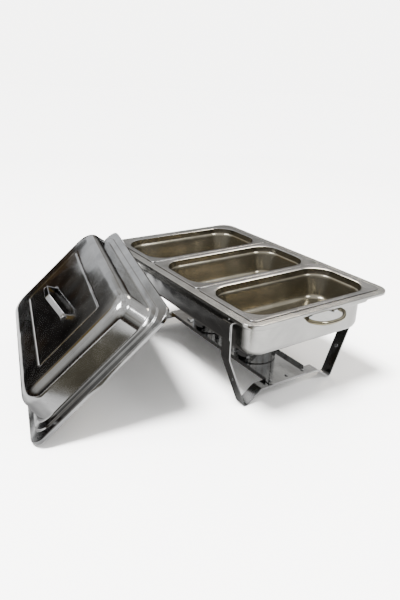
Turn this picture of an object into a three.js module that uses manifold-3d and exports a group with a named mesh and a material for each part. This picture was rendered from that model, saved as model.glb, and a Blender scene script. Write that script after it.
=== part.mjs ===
// Fuel-heated chafing dish (buffet server): strap stand, water pan, three food pans, two gel-fuel
// burners and a lifted-off lid that leans on the long front side of the pan.
// Millimetres, +Z up, X along the long side, -Y the front where the lid leans. The origin ends up
// on the floor, under the middle of the whole object.
import * as THREE from 'three';
import { mergeVertices } from 'three/addons/utils/BufferGeometryUtils.js';
import Module from 'manifold-3d';

const wasm = await Module();
wasm.setup();

// ---------------------------------------------------------------- driving dimensions
const clearance = 0.3;          // left between pieces that touch
const rimHeight = 219;          // floor to the top of the food pan rims

const foodPan = {
  count: 3, width: 176, length: 325, depth: 65, sheet: 1, gap: 0.6,
  rimCorner: 12, rimWidth: 13, lip: 1.7, openingCorner: 44,
  shoulderDepth: 13, shoulderStep: 3, draft: 9, floorCorner: 34, floorRound: 14,
};

const waterPan = {
  endBearing: 6.5,              // part of the rim that lies under the food pans at the short ends
  sideBearing: 5.5,             // and at the long sides
  rimCorner: 30, rimDrop: 2, lip: 6, sheet: 1.2,
  ledge: 22,                    // rim width, outer edge to collar
  collarCorner: 30, collarDepth: 25, shoulder: 11,
  depth: 91, bodyCorner: 35, floorRound: 18,
};

const stand = {
  railLength: 410, railHeight: 33, railDrop: 1.7, railSheet: 2, railSide: 8.5,
  strapWidth: 26, strapThickness: 2.5,
  legBend: 116,                 // height at which a leg turns inwards
  footHalfSpan: 121,            // middle to the outside of a foot
  crossbarHeight: 26.5,         // floor to the middle of the crossbar strap
  crossbarHalf: 78,
  seatReach: 16,                // inward turned top of a leg, which carries the water pan
  bendRadius: 6, seatRadius: 2, legRadius: 12, crossbarRadius: 8,
};

const shelf = { burnerRoom: 13, sheet: 1.5, upstand: 7, upstandShort: 18, corner: 10 };
const screw = { shank: 4, head: 7.5, headHeight: 2, nut: 7.5, nutHeight: 3.2, hole: 4.8, edge: 8.5, perEnd: 3 };
const peg = { diameter: 3, shank: 2, height: 9, play: 0.5 };
const stud = { diameter: 8, height: 1.6, shank: 4, along: 0.48 };

const burner = {
  spacing: 170, diameter: 92, height: 62, sheet: 1.2,
  ventHole: 8, ventHeight: 14, ventAngle: -58,
  tabWidth: 12, tabReach: 19, tabHeight: 25, tabSheet: 2,
};
const cover = {
  sheet: 1.2, opening: 44, ear: 9, lugDepth: 12, lugDiameter: 11,
  pin: 4, pinHole: 4.8, pinHead: 8, pinHeadHeight: 1.8, gripReach: 20, gripWidth: 14,
};

const panHandle = { span: 80, rod: 8, reach: 35, bow: 5, bend: 5.5, droop: 9, pivotDrop: 16, stub: 9 };
const bracket = { width: 8, height: 14, nose: 6.6, reach: 7.2, inset: 2.5 };

const lid = {
  length: 515, width: 336, corner: 30, lip: 7, sheet: 1.2,
  flange: 15, step: 3, seat: 11, domeCorner: 40, domeHeight: 59, wallDraft: 7, topRound: 22,
  turn: 15, along: -88,       // degrees against the long side; middle of the lid along the pan
  aboveRim: 13.435, tuck: 3.83, // its top edge over the pan rim; the rim corner inside its lip
};
const grip = { width: 11, sheet: 2.5, span: 134, rise: 36, flat: 46, foot: 14, bend: 6 };
const rivet = { shank: 3.6, hole: 4.4, head: 8, headHeight: 1.6 };

// ---------------------------------------------------------------- finishes
const finish = (color, roughness) => new THREE.MeshStandardMaterial({ color, roughness, metalness: 1 });
const mirrorSteel = finish(0xb9bbbd, 0.1);
const satinSteel = finish(0xa7a7a6, 0.34);
const panSteel = finish(0x8d8a80, 0.4);
const chrome = finish(0xd4d5d7, 0.06);

// ---------------------------------------------------------------- shape helpers
const radians = THREE.MathUtils.degToRad;
const model = new THREE.Group();

function node(name, geometry, material, parent = model) {
  const mesh = new THREE.Mesh(geometry, material);
  mesh.name = name;
  parent.add(mesh);
  return mesh;
}

// Shared corners merged and flat triangles dropped, which leaves one closed skin.
function closedSkin(geometry) {
  const bare = geometry.index ? geometry : geometry.clone();
  bare.deleteAttribute('normal');
  bare.deleteAttribute('uv');
  const merged = mergeVertices(bare, 1e-3);
  const index = merged.index.array;
  const kept = [];
  for (let i = 0; i < index.length; i += 3) {
    const [a, b, c] = [index[i], index[i + 1], index[i + 2]];
    if (a !== b && b !== c && c !== a) kept.push(a, b, c);
  }
  merged.setIndex(kept);
  return merged;
}

function solid(geometry) {
  const skin = closedSkin(geometry);
  return new wasm.Manifold(new wasm.Mesh({
    numProp: 3,
    vertProperties: new Float32Array(skin.attributes.position.array),
    triVerts: new Uint32Array(skin.index.array),
  }));
}

function skinOf(body) {
  const mesh = body.getMesh();
  const geometry = new THREE.BufferGeometry();
  geometry.setAttribute('position', new THREE.BufferAttribute(new Float32Array(mesh.vertProperties), 3));
  geometry.setIndex(Array.from(mesh.triVerts));
  return geometry;
}

const cut = (geometry, ...tools) =>
  skinOf(tools.reduce((body, tool) => body.subtract(solid(tool)), solid(geometry)));
const join = (geometry, ...others) =>
  skinOf(others.reduce((body, other) => body.add(solid(other)), solid(geometry)));

// A lofted tray. Each ring is a rounded rectangle with half sizes x and y, a corner radius and a
// height. It is a lathe of the corner radii whose four quarters are pulled apart.
function tray(rings, cornerSteps = 6) {
  const segments = 4 * cornerSteps;
  const core = (ring) => ({ x: ring.x - ring.corner, y: ring.y - ring.corner, corner: 0, z: ring.z });
  const middle = (ring) => ({ x: 0, y: 0, corner: 0, z: ring.z });
  const [first, last] = [rings[0], rings[rings.length - 1]];
  const profile = [middle(first), core(first), ...rings, core(last), middle(last)];
  const outline = profile.map((ring) => new THREE.Vector2(ring.corner, ring.z));
  const geometry = new THREE.LatheGeometry(outline, segments);
  const place = geometry.attributes.position;
  for (let i = 0; i <= segments; i += 1) {
    const angle = ((i % segments) + 0.5) * ((2 * Math.PI) / segments);
    for (let j = 0; j < profile.length; j += 1) {
      const { x, y, corner, z } = profile[j];
      const radius = corner / Math.cos(Math.PI / segments);
      place.setXYZ(
        i * profile.length + j,
        Math.sign(Math.cos(angle)) * (x - corner) + radius * Math.cos(angle),
        Math.sign(Math.sin(angle)) * (y - corner) + radius * Math.sin(angle),
        z,
      );
    }
  }
  return closedSkin(geometry);
}

// A turned piece about the vertical: points are [radius, height].
function turned(points, segments = 32) {
  const geometry = new THREE.LatheGeometry(points.map(([r, z]) => new THREE.Vector2(r, z)), segments);
  return closedSkin(geometry.rotateX(Math.PI / 2));
}

const post = (diameter, bottom, top, segments = 12) =>
  turned([[0, bottom], [diameter / 2, bottom], [diameter / 2, top], [0, top]], segments);

// A point of an outline with its corner rounded to a radius.
function roundCorner(before, corner, after, radius, steps = 4) {
  const toBefore = before.clone().sub(corner).normalize();
  const toAfter = after.clone().sub(corner).normalize();
  const half = Math.acos(THREE.MathUtils.clamp(toBefore.dot(toAfter), -1, 1)) / 2;
  const inward = toBefore.clone().add(toAfter).normalize();
  const centre = corner.clone().addScaledVector(inward, radius / Math.sin(half));
  const start = corner.clone().addScaledVector(toBefore, radius / Math.tan(half)).sub(centre);
  const turn = Math.PI - 2 * half;
  const side = -Math.sign(toBefore.x * toAfter.y - toBefore.y * toAfter.x);
  return Array.from({ length: steps + 1 }, (_, i) =>
    start.clone().rotateAround(new THREE.Vector2(), (side * turn * i) / steps).add(centre));
}

// The middle line of a bent strap, with every bend rounded.
function bentLine(points, radius) {
  const line = points.map(([a, b]) => new THREE.Vector2(a, b));
  const bends = line.slice(1, -1).flatMap((p, i) => roundCorner(line[i], p, line[i + 2], radius));
  return [line[0], ...bends, line[line.length - 1]];
}

// The closed outline of a strap of even thickness along a middle line.
function strapOutline(line, thickness) {
  const normalAt = (i) => {
    const back = line[i].clone().sub(line[Math.max(i - 1, 0)]);
    const ahead = line[Math.min(i + 1, line.length - 1)].clone().sub(line[i]);
    const a = (back.lengthSq() ? back : ahead).normalize();
    const b = (ahead.lengthSq() ? ahead : back).normalize();
    const mean = a.clone().add(b).normalize();
    return new THREE.Vector2(-mean.y, mean.x).multiplyScalar(thickness / 2 / mean.dot(a));
  };
  const left = line.map((p, i) => p.clone().add(normalAt(i)));
  const right = line.map((p, i) => p.clone().sub(normalAt(i)));
  return new THREE.Shape([...right, ...left.reverse()]);
}

// An outline drawn in the (Y, Z) plane and carried along X, centred on x = 0.
function alongX(shape, length) {
  const geometry = new THREE.ExtrudeGeometry(shape, { depth: length, bevelEnabled: false, steps: 1 });
  geometry.translate(0, 0, -length / 2);
  const turn = new THREE.Matrix4().makeBasis(
    new THREE.Vector3(0, 1, 0), new THREE.Vector3(0, 0, 1), new THREE.Vector3(1, 0, 0),
  );
  return closedSkin(geometry.applyMatrix4(turn));
}

// ---------------------------------------------------------------- sizes that follow
const blockLength = foodPan.count * foodPan.width + (foodPan.count - 1) * foodPan.gap;
const waterRim = {
  x: blockLength / 2 + waterPan.ledge - waterPan.endBearing,
  y: foodPan.length / 2 + waterPan.ledge - waterPan.sideBearing,
};
const rimTop = rimHeight - waterPan.rimDrop;
const collar = { x: waterRim.x - waterPan.ledge, y: waterRim.y - waterPan.ledge };
const shoulderHeight = rimTop - waterPan.collarDepth;
const bottomHeight = rimHeight - waterPan.depth;
const seatTop = shoulderHeight - clearance;
const railY = collar.y + stand.railSide;
const railTop = seatTop - stand.railDrop;
const legOuter = railY - stand.railSheet - clearance;
const legMiddle = legOuter - stand.strapThickness / 2;
const loopX = (stand.railLength - stand.strapWidth) / 2;
const shelfBottom = stand.crossbarHeight + stand.strapThickness / 2 + clearance;
const shelfTop = shelfBottom + shelf.sheet;
const shelfWidth = burner.diameter + shelf.burnerRoom;
const screwPitch = (shelfWidth - 2 * screw.edge) / (screw.perEnd - 1);

// ---------------------------------------------------------------- food pans
function foodPanGeometry() {
  const { sheet, depth, rimWidth, shoulderStep, shoulderDepth, draft, lip } = foodPan;
  const half = { x: foodPan.width / 2, y: foodPan.length / 2 };
  const ring = (inset, corner, drop) => ({ x: half.x - inset, y: half.y - inset, corner, z: rimHeight - drop });
  const neck = rimWidth + sheet;
  const body = neck + shoulderStep;
  // One wall, from the floor up: extra is how far it lies inside the outer skin.
  const wall = (extra) => {
    const floor = depth - extra;
    const foot = body + draft + extra;
    const round = foodPan.floorRound - extra;
    const arc = [90, 60, 30, 0].map((a) => {
      const [c, s] = [Math.cos(radians(a)), Math.sin(radians(a))];
      const inset = foot + round * (1 - c);
      return ring(inset, Math.max(foodPan.floorCorner - round * (1 - c), 6), floor - round * (1 - s));
    });
    return [
      ...arc,
      ring(body + extra, foodPan.openingCorner - shoulderStep, shoulderDepth + shoulderStep),
      ring(neck - sheet + extra + 0.6, foodPan.openingCorner, shoulderDepth),
    ];
  };
  const outer = wall(0);
  const inner = wall(sheet).reverse();
  return tray([
    ...outer,
    ring(rimWidth + 0.6, foodPan.openingCorner, sheet),
    ring(sheet, foodPan.rimCorner - sheet, sheet),
    ring(sheet, foodPan.rimCorner - sheet, lip),
    ring(0, foodPan.rimCorner, lip),
    ring(0, foodPan.rimCorner, 0),
    ring(rimWidth, foodPan.openingCorner, 0),
    ...inner,
  ]);
}

function addFoodPans() {
  const geometry = foodPanGeometry();
  const names = ['food_pan_left', 'food_pan_middle', 'food_pan_right'];
  const pitch = foodPan.width + foodPan.gap;
  for (let i = 0; i < foodPan.count; i += 1) {
    const pan = node(names[i], geometry, panSteel);
    pan.position.x = (i - (foodPan.count - 1) / 2) * pitch;
  }
}

// ---------------------------------------------------------------- water pan and its handles
function waterPanGeometry() {
  const { sheet, ledge, lip, shoulder, floorRound, rimCorner } = waterPan;
  const ring = (inset, corner, z) => ({ x: waterRim.x - inset, y: waterRim.y - inset, corner, z });
  const wall = (extra) => {
    const body = ledge + shoulder + extra;
    const round = floorRound - extra;
    const arc = [90, 60, 30, 0].map((a) => {
      const inset = body + round * (1 - Math.cos(radians(a)));
      const z = bottomHeight + extra + round * (1 - Math.sin(radians(a)));
      return ring(inset, Math.max(waterPan.bodyCorner - (inset - body), 5), z);
    });
    return [
      ...arc,
      ring(body, waterPan.bodyCorner, shoulderHeight + extra),
      ring(ledge + extra, waterPan.collarCorner - extra, shoulderHeight + extra),
    ];
  };
  return tray([
    ...wall(0),
    ring(ledge, waterPan.collarCorner, rimTop - sheet),
    ring(sheet, rimCorner - sheet, rimTop - sheet),
    ring(sheet, rimCorner - sheet, rimTop - lip),
    ring(0, rimCorner, rimTop - lip),
    ring(0, rimCorner, rimTop - sheet),
    ring(sheet, rimCorner - sheet, rimTop),
    ring(ledge + sheet, waterPan.collarCorner - sheet, rimTop),
    ...wall(sheet).reverse(),
  ]);
}

const pivotX = collar.x + clearance + bracket.reach;
const pivotHeight = rimHeight - panHandle.pivotDrop;
const bracketRow = (panHandle.span - panHandle.stub) / 2 - bracket.inset;

// The hinge lug of a drop handle: a flat back on the collar and a bored round nose.
function bracketGeometry() {
  const shape = new THREE.Shape();
  const half = bracket.height / 2;
  shape.moveTo(-bracket.reach, -half);
  shape.lineTo(0, -bracket.nose);
  shape.absarc(0, 0, bracket.nose, -Math.PI / 2, Math.PI / 2, false);
  shape.lineTo(-bracket.reach, half);
  const bore = new THREE.Path();
  bore.absarc(0, 0, panHandle.rod / 2 + 2 * clearance, 0, 2 * Math.PI, false);
  shape.holes.push(bore);
  const settings = { depth: bracket.width, bevelEnabled: false, curveSegments: 8 };
  const geometry = new THREE.ExtrudeGeometry(shape, settings);
  geometry.translate(0, 0, -bracket.width / 2);
  return closedSkin(geometry.rotateX(Math.PI / 2));
}

// A round rod bent to a bow, with both ends turned in towards each other as hinge stubs.
function panHandleGeometry() {
  const half = panHandle.span / 2;
  const { reach, bow, bend, stub } = panHandle;
  const turn = half - stub / 3;
  const side = [
    [0, half - stub], [0, turn], [bend * 0.3, turn + bend * 0.7], [bend, turn + bend],
    [reach * 0.42, half + bow],
    [reach * 0.78, half * 0.8], [reach, half * 0.3],
  ];
  const points = [...side.map(([out, y]) => new THREE.Vector3(out, -y, 0)),
    ...side.reverse().map(([out, y]) => new THREE.Vector3(out, y, 0))];
  const section = new THREE.Shape();
  section.absarc(0, 0, panHandle.rod / 2, 0, 2 * Math.PI, false);
  const path = new THREE.CatmullRomCurve3(points, false, 'centripetal');
  const settings = { steps: 44, extrudePath: path, curveSegments: 4, bevelEnabled: false };
  const geometry = new THREE.ExtrudeGeometry(section, settings);
  return closedSkin(geometry);
}

function addWaterPan() {
  node('water_pan', waterPanGeometry(), satinSteel);
  const lug = bracketGeometry();
  const bow = panHandleGeometry();
  for (const [end, side] of [['right', 1], ['left', -1]]) {
    const turn = side > 0 ? 0 : Math.PI;
    const handle = node(`pan_handle_${end}`, bow, chrome);
    handle.rotation.set(0, radians(panHandle.droop), turn, 'ZYX');
    handle.position.set(side * pivotX, 0, pivotHeight);
    for (const [place, y] of [['front', -1], ['back', 1]]) {
      const hinge = node(`handle_bracket_${end}_${place}`, lug, chrome);
      hinge.rotation.z = turn;
      hinge.position.set(side * pivotX, y * bracketRow, pivotHeight);
    }
  }
}

// ---------------------------------------------------------------- strap stand
// Where a straight line from a point touches a circle.
function touchPoint(from, centre, radius, side) {
  const reach = from.clone().sub(centre);
  const angle = Math.atan2(reach.y, reach.x) + side * Math.acos(radius / reach.length());
  return new THREE.Vector2(Math.cos(angle), Math.sin(angle)).multiplyScalar(radius).add(centre);
}

const loopBends = (() => {
  const half = stand.strapThickness / 2;
  const seat = new THREE.Vector2(legMiddle, seatTop - half);
  const bend = new THREE.Vector2(legMiddle, stand.legBend);
  const cross = new THREE.Vector2(stand.crossbarHalf, stand.crossbarHeight);
  const foot = new THREE.Vector2(stand.footHalfSpan - half - stand.bendRadius, half + stand.bendRadius);
  const down = touchPoint(bend, foot, stand.bendRadius, -1);
  const up = touchPoint(cross, foot, stand.bendRadius, 1);
  return { seat, bend, cross, foot, down, up };
})();

// One end loop: seat, leg, foot, crossbar, foot, leg, seat in a single bent strap.
function loopLine() {
  const { seat, bend, cross, foot, down, up } = loopBends;
  const origin = new THREE.Vector2();
  const start = down.clone().sub(foot).angle();
  const sweep = up.clone().sub(foot).angle() - start;
  const footArc = Array.from({ length: 6 }, (_, i) =>
    new THREE.Vector2(stand.bendRadius, 0).rotateAround(origin, start + (sweep * i) / 5).add(foot));
  const side = [
    new THREE.Vector2(legOuter - stand.seatReach, seat.y),
    ...roundCorner(new THREE.Vector2(0, seat.y), seat, bend, stand.seatRadius),
    ...roundCorner(seat, bend, down, stand.legRadius),
    ...footArc,
    ...roundCorner(up, cross, new THREE.Vector2(0, cross.y), stand.crossbarRadius, 3),
  ];
  return [...side, ...side.map((p) => new THREE.Vector2(-p.x, p.y)).reverse()];
}

const screwRows = Array.from({ length: screw.perEnd }, (_, i) => (i - (screw.perEnd - 1) / 2) * screwPitch);
const ends = [['right', 1], ['left', -1]];
const sides = [['front', -1], ['back', 1]];

// The stud's place on the slanting part of a leg, and the way that it points, on one side.
function studFrame(side) {
  const { bend, down } = loopBends;
  const along = down.clone().sub(bend);
  const at = bend.clone().addScaledVector(along, stud.along);
  const inward = new THREE.Vector2(along.y, -along.x).normalize();
  const frame = new THREE.Matrix4().makeRotationX(Math.atan2(-side * inward.x, inward.y));
  return frame.setPosition(0, side * at.x, at.y);
}

function addStand() {
  const strap = alongX(strapOutline(loopLine(), stand.strapThickness), stand.strapWidth);
  const pegRow = collar.y + peg.play + peg.diameter / 2;
  const holes = [
    ...screwRows.map((y) => post(screw.hole, 0, shelfBottom).translate(0, y, 0)),
    ...sides.map(([, side]) =>
      post(peg.shank + 2 * clearance, seatTop - 6, seatTop + 2).translate(0, side * pegRow, 0)),
    ...sides.map(([, side]) => post(stud.shank + 2 * clearance, -6, 6).applyMatrix4(studFrame(side))),
  ];
  const loop = cut(strap, ...holes);
  for (const [end, x] of ends) {
    node(`end_loop_${end}`, loop, mirrorSteel).position.x = x * loopX;
    for (const [place, side] of sides) {
      node(`guide_peg_${end}_${place}`, pegGeometry(), chrome).position.set(x * loopX, side * pegRow, seatTop);
      const rivetMesh = node(`leg_rivet_${end}_${place}`, studGeometry().applyMatrix4(studFrame(side)), chrome);
      rivetMesh.position.x = x * loopX;
    }
  }
  for (const [place, side] of sides) {
    const rail = new THREE.BoxGeometry(stand.railLength, stand.railSheet, stand.railHeight);
    node(`side_rail_${place}`, closedSkin(rail), mirrorSteel)
      .position.set(0, side * (railY - stand.railSheet / 2), railTop - stand.railHeight / 2);
  }
}

// A peg with a thin shank through the seat and a burred end below it.
function pegGeometry() {
  const under = -(stand.strapThickness + clearance);
  return turned([
    [0, under - 1], [peg.diameter / 2, under - 1], [peg.diameter / 2, under], [peg.shank / 2, under],
    [peg.shank / 2, clearance], [peg.diameter / 2, clearance], [peg.diameter / 2, peg.height - 1],
    [peg.diameter / 2 - 0.8, peg.height], [0, peg.height],
  ], 10);
}

// A domed rivet through the strap, dome inside, flat burr outside.
function studGeometry() {
  const face = stand.strapThickness / 2 + clearance;
  return turned([
    [0, -face - 0.6], [stud.diameter / 2 - 1, -face - 0.6], [stud.diameter / 2 - 1, -face],
    [stud.shank / 2, -face], [stud.shank / 2, face], [stud.diameter / 2, face],
    [stud.diameter / 2 - 0.4, face + stud.height * 0.6], [stud.diameter / 4, face + stud.height],
    [0, face + stud.height],
  ], 12);
}

// ---------------------------------------------------------------- burner shelf and its screws
function addShelf() {
  const half = { x: stand.railLength / 2, y: shelfWidth / 2 };
  const plate = new THREE.Shape();
  plate.moveTo(-half.x + shelf.corner, -half.y);
  plate.absarc(half.x - shelf.corner, -half.y + shelf.corner, shelf.corner, -Math.PI / 2, 0, false);
  plate.absarc(half.x - shelf.corner, half.y - shelf.corner, shelf.corner, 0, Math.PI / 2, false);
  plate.absarc(-half.x + shelf.corner, half.y - shelf.corner, shelf.corner, Math.PI / 2, Math.PI, false);
  plate.absarc(-half.x + shelf.corner, -half.y + shelf.corner, shelf.corner, Math.PI, 1.5 * Math.PI, false);
  const base = new THREE.ExtrudeGeometry(plate, { depth: shelf.sheet, bevelEnabled: false, curveSegments: 5 });
  base.translate(0, 0, shelfBottom);
  const wallLength = stand.railLength - 2 * shelf.upstandShort;
  const walls = sides.map(([, side]) => new THREE.BoxGeometry(wallLength, shelf.sheet, shelf.upstand + shelf.sheet)
    .translate(0, side * (half.y - shelf.sheet / 2), shelfBottom + (shelf.upstand + shelf.sheet) / 2));
  const holes = ends.flatMap(([, x]) => screwRows.map((y) =>
    post(screw.hole, shelfBottom - 2, shelfTop + 2).translate(x * loopX, y, 0)));
  node('burner_shelf', cut(join(base, ...walls), ...holes), mirrorSteel);

  const under = stand.crossbarHeight - stand.strapThickness / 2 - clearance;
  const nutTop = under;
  const nutBottom = under - screw.nutHeight;
  const tip = nutBottom - 1.5;
  const headBottom = shelfTop + clearance;
  const shank = screw.shank / 2;
  const screwGeometry = turned([
    [0, tip], [shank, tip], [shank, headBottom], [screw.head / 2, headBottom],
    [screw.head / 2, headBottom + screw.headHeight * 0.5], [screw.head / 4, headBottom + screw.headHeight],
    [0, headBottom + screw.headHeight],
  ], 10);
  const bore = shank + clearance;
  const nutGeometry = cut(
    turned([[0, nutBottom], [screw.nut / 2, nutBottom], [screw.nut / 2, nutTop], [0, nutTop]], 6),
    post(2 * bore, nutBottom - 1, nutTop + 1),
  );
  const rowNames = ['front', 'middle', 'back'];
  for (const [end, x] of ends) {
    screwRows.forEach((y, i) => {
      node(`shelf_screw_${end}_${rowNames[i]}`, screwGeometry, chrome).position.set(x * loopX, y, 0);
      node(`shelf_nut_${end}_${rowNames[i]}`, nutGeometry, chrome).position.set(x * loopX, y, 0);
    });
  }
}

// ---------------------------------------------------------------- burners
const burnerBottom = shelfTop + clearance;
const burnerTop = burnerBottom + burner.height;
const pivotRow = burner.diameter / 2 + cover.lugDiameter / 2 - burner.sheet / 2;

// The cup: a pressed drum with a vent hole and a small boss for the cover's pivot.
function cupGeometry() {
  const radius = burner.diameter / 2;
  const inside = radius - burner.sheet;
  const floor = burnerBottom + burner.sheet;
  const drum = turned([
    [0, burnerBottom], [radius - 1.5, burnerBottom], [radius, burnerBottom + 1.5], [radius, burnerTop],
    [inside, burnerTop], [inside, floor + 1.5], [inside - 1.5, floor], [0, floor],
  ], 32);
  const boss = post(cover.lugDiameter, burnerTop - cover.lugDepth, burnerTop, 20).translate(0, pivotRow, 0);
  const bossBore = post(cover.pinHole, burnerTop - cover.lugDepth - 1, burnerTop + 1).translate(0, pivotRow, 0);
  const hollow = post(2 * inside, burnerTop - cover.lugDepth - 1, burnerTop + 1, 32);
  const vent = new THREE.CylinderGeometry(burner.ventHole / 2, burner.ventHole / 2, 8, 16)
    .translate(0, radius, 0)
    .rotateZ(radians(burner.ventAngle - 90))
    .translate(0, 0, burnerBottom + burner.ventHeight);
  return cut(join(drum, boss), bossBore, hollow, vent);
}

// The pull tab on the front of a cup, an angle of thin strap with its end turned up.
function tabGeometry() {
  const root = -(burner.diameter / 2 + clearance + burner.tabSheet / 2);
  const height = burnerBottom + burner.tabHeight;
  const line = bentLine([[root, height + 14], [root, height], [root - burner.tabReach, height],
    [root - burner.tabReach, height + 7]], 3);
  return alongX(strapOutline(line, burner.tabSheet), burner.tabWidth);
}

// The swing cover: a disc with a flame opening, an ear for the pivot and a grip at the front.
function coverGeometry() {
  const radius = burner.diameter / 2;
  const low = burnerTop + clearance;
  const high = low + cover.sheet;
  const disc = post(2 * radius, low, high, 32);
  const ear = post(2 * cover.ear, low, high, 20).translate(0, pivotRow, 0);
  const plate = new THREE.BoxGeometry(cover.gripWidth, cover.gripReach + 8, cover.sheet)
    .translate(0, -(radius + (cover.gripReach - 8) / 2), (low + high) / 2);
  return cut(join(disc, ear, plate),
    post(cover.opening, low - 1, high + 1, 24),
    post(cover.pinHole, low - 1, high + 1).translate(0, pivotRow, 0));
}

function pivotPinGeometry() {
  const shank = cover.pin / 2;
  const face = burnerTop + cover.sheet + 2 * clearance;
  const low = burnerTop - cover.lugDepth - clearance;
  return turned([
    [0, low - 1], [cover.pinHead / 2 - 1, low - 1], [cover.pinHead / 2 - 1, low], [shank, low], [shank, face],
    [cover.pinHead / 2, face], [cover.pinHead / 2, face + 0.8], [cover.pinHead / 4, face + cover.pinHeadHeight],
    [0, face + cover.pinHeadHeight],
  ], 12);
}

function addBurners() {
  const cup = cupGeometry();
  const tab = tabGeometry();
  const swing = coverGeometry();
  const pin = pivotPinGeometry();
  for (const [end, x] of ends) {
    const middle = (x * burner.spacing) / 2;
    node(`burner_cup_${end}`, cup, chrome).position.x = middle;
    node(`burner_tab_${end}`, tab, chrome).position.x = middle;
    node(`burner_cover_${end}`, swing, satinSteel).position.x = middle;
    node(`cover_pin_${end}`, pin, chrome).position.set(middle, pivotRow, 0);
  }
}

// ---------------------------------------------------------------- lid, in its own frame
// Its X runs up the slope, Y along the long side away from the right end, Z out of the dome.
function lidGeometry(rivetRows) {
  const half = { x: lid.width / 2, y: lid.length / 2 };
  const ring = (inset, corner, z) => ({ x: half.x - inset, y: half.y - inset, corner, z });
  const domeFoot = lid.flange + lid.seat;
  const domeSide = (extra) => {
    const round = lid.topRound - extra;
    const wall = domeFoot + lid.wallDraft + extra;
    const arc = [0, 22.5, 45, 67.5, 90].map((a) => {
      const inset = wall + round * (1 - Math.cos(radians(a)));
      return ring(inset, Math.max(lid.domeCorner - (inset - wall) * 0.6, 12),
        lid.domeHeight - lid.topRound + round * Math.sin(radians(a)));
    });
    return [ring(domeFoot + extra, lid.domeCorner, lid.step - extra), ...arc];
  };
  const { sheet, flange, lip, step, corner } = lid;
  const inner = domeSide(sheet).reverse();
  const shell = tray([
    ...inner,
    ring(flange + sheet, corner + 4, step - sheet),
    ring(flange + sheet, corner + 4, -sheet),
    ring(sheet, corner - sheet, -sheet),
    ring(sheet, corner - sheet, -lip),
    ring(0, corner, -lip),
    ring(0, corner, -sheet),
    ring(sheet, corner - sheet, 0),
    ring(flange, corner + 4, 0),
    ring(flange + 1.5, corner + 4, step),
    ...domeSide(0),
  ]);
  const holes = rivetRows.map((y) => post(rivet.hole, lid.domeHeight - 5, lid.domeHeight + 5).translate(0, y, 0));
  return cut(shell, ...holes);
}

// How steep the lid leans: its upper edge always stands the same height over the pan rim.
const lidTilt = Math.asin((rimTop + lid.aboveRim) / lid.width);

// The lid's middle in Y: the rounded front left corner of the rim lies just inside the lip.
function lidRow(level) {
  const corner = new THREE.Vector2(waterPan.rimCorner - waterRim.x, waterPan.rimCorner - waterRim.y);
  const rest = corner.dot(level) - waterPan.rimCorner;
  const run = (rimTop - lid.tuck / Math.cos(lidTilt)) / Math.tan(lidTilt);
  const middle = rest - run + (lid.width / 2) * Math.cos(lidTilt) - lid.lip * Math.sin(lidTilt);
  return (middle - lid.along * level.x) / level.y;
}

function addLid() {
  const frame = new THREE.Group();
  frame.name = 'lid_frame';
  const away = new THREE.Vector3(-Math.cos(radians(lid.turn)), Math.sin(radians(lid.turn)), 0);
  const level = new THREE.Vector2(away.y, -away.x);
  const upSlope = new THREE.Vector3(level.x * Math.cos(lidTilt), level.y * Math.cos(lidTilt), Math.sin(lidTilt));
  const outOfDome = upSlope.clone().cross(away);
  frame.matrix.makeBasis(upSlope, away, outOfDome);
  frame.quaternion.setFromRotationMatrix(frame.matrix);
  const height = (lid.width / 2) * upSlope.z + lid.lip * outOfDome.z;
  frame.position.set(lid.along, lidRow(level), height);
  model.add(frame);

  const rows = [1, -1].map((side) => side * (grip.span / 2 + grip.foot / 2));
  node('lid_shell', lidGeometry(rows), mirrorSteel, frame);

  const low = lid.domeHeight + clearance + grip.sheet / 2;
  const high = lid.domeHeight + grip.rise - grip.sheet / 2;
  const outerEnd = grip.span / 2 + grip.foot;
  const line = bentLine([
    [-outerEnd, low], [-grip.span / 2, low], [-grip.flat / 2, high],
    [grip.flat / 2, high], [grip.span / 2, low], [outerEnd, low],
  ], grip.bend);
  const holes = rows.map((y) => post(rivet.hole, low - 4, low + 4).translate(0, y, 0));
  node('lid_handle', cut(alongX(strapOutline(line, grip.sheet), grip.width), ...holes), chrome, frame);

  const face = low + grip.sheet / 2 + clearance;
  const under = lid.domeHeight - lid.sheet - clearance;
  const [shank, head] = [rivet.shank / 2, rivet.head / 2];
  const rivetGeometry = turned([
    [0, under - 1], [head * 0.8, under - 1], [head * 0.8, under], [shank, under], [shank, face], [head, face],
    [head * 0.9, face + rivet.headHeight * 0.6], [head * 0.5, face + rivet.headHeight], [0, face + rivet.headHeight],
  ], 12);
  node('lid_rivet_far', rivetGeometry, chrome, frame).position.y = rows[0];
  node('lid_rivet_near', rivetGeometry, chrome, frame).position.y = rows[1];
}

addStand();
addShelf();
addBurners();
addWaterPan();
addFoodPans();
addLid();

// The origin moves to the floor under the middle of everything.
model.updateMatrixWorld(true);
const box = new THREE.Box3().setFromObject(model, true);
const origin = new THREE.Vector3((box.min.x + box.max.x) / 2, (box.min.y + box.max.y) / 2, box.min.z);
model.children.forEach((child) => child.position.sub(origin));

export default model;
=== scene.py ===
import math

import bmesh
import bpy
from mathutils import Matrix, Vector


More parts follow.
